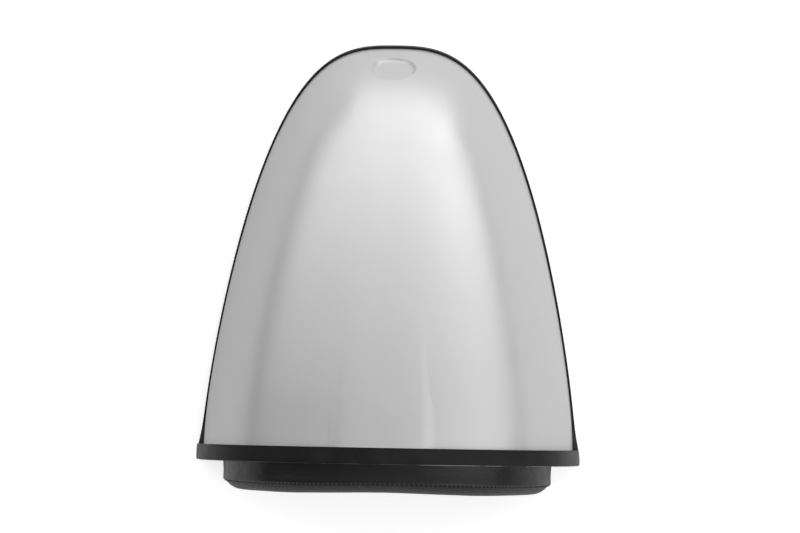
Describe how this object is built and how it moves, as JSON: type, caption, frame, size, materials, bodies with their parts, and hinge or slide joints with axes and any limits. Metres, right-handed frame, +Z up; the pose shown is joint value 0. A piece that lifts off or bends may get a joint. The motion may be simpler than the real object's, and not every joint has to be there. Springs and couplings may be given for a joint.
{
  "type": "motorbike seat cowl",
  "caption": "Silver hump-shaped single-seat cowl with a blunt round tail, a rubber edge channel all round and a stitched black pad across its front arch.",
  "frame": {"origin": "middle of the footprint on the plane that the underside of the edge channel rests on", "axes": "+X across to the cowl's right as seen from the front, +Y from the pad to the tail, +Z up"},
  "size_m": [0.252, 0.2983, 0.122],
  "materials": {
    "cowl_shell": "silver paint under clear coat on moulded ABS",
    "edge_trim": "extruded black rubber channel, satin",
    "front_bulkhead": "moulded black ABS, fine texture",
    "pad_board": "plywood, sawn edge",
    "pad_foam": "open-cell seat foam",
    "pad_boxing": "smooth black vinyl",
    "pad_front_panel": "black vinyl with fine ribs",
    "cover_staples": "bright galvanised wire",
    "pad_tee_nuts": "zinc plated steel",
    "pad_screws": "zinc plated steel",
    "pad_washers": "zinc plated steel",
    "mount_grommets": "moulded black rubber",
    "mount_collars": "zinc plated steel"
  },
  "bodies": {
    "root": {"cowl_shell": "cowl_shell", "edge_trim": "edge_trim", "front_bulkhead": "front_bulkhead", "pad_board": "pad_board", "pad_foam": "pad_foam", "pad_boxing": "pad_boxing", "pad_front_panel": "pad_front_panel", "cover_staples": "cover_staples", "pad_tee_nuts": "pad_tee_nuts", "pad_screws": "pad_screws", "pad_washers": "pad_washers", "mount_grommets": "mount_grommets", "mount_collars": "mount_collars"}
  },
  "joints": []
}
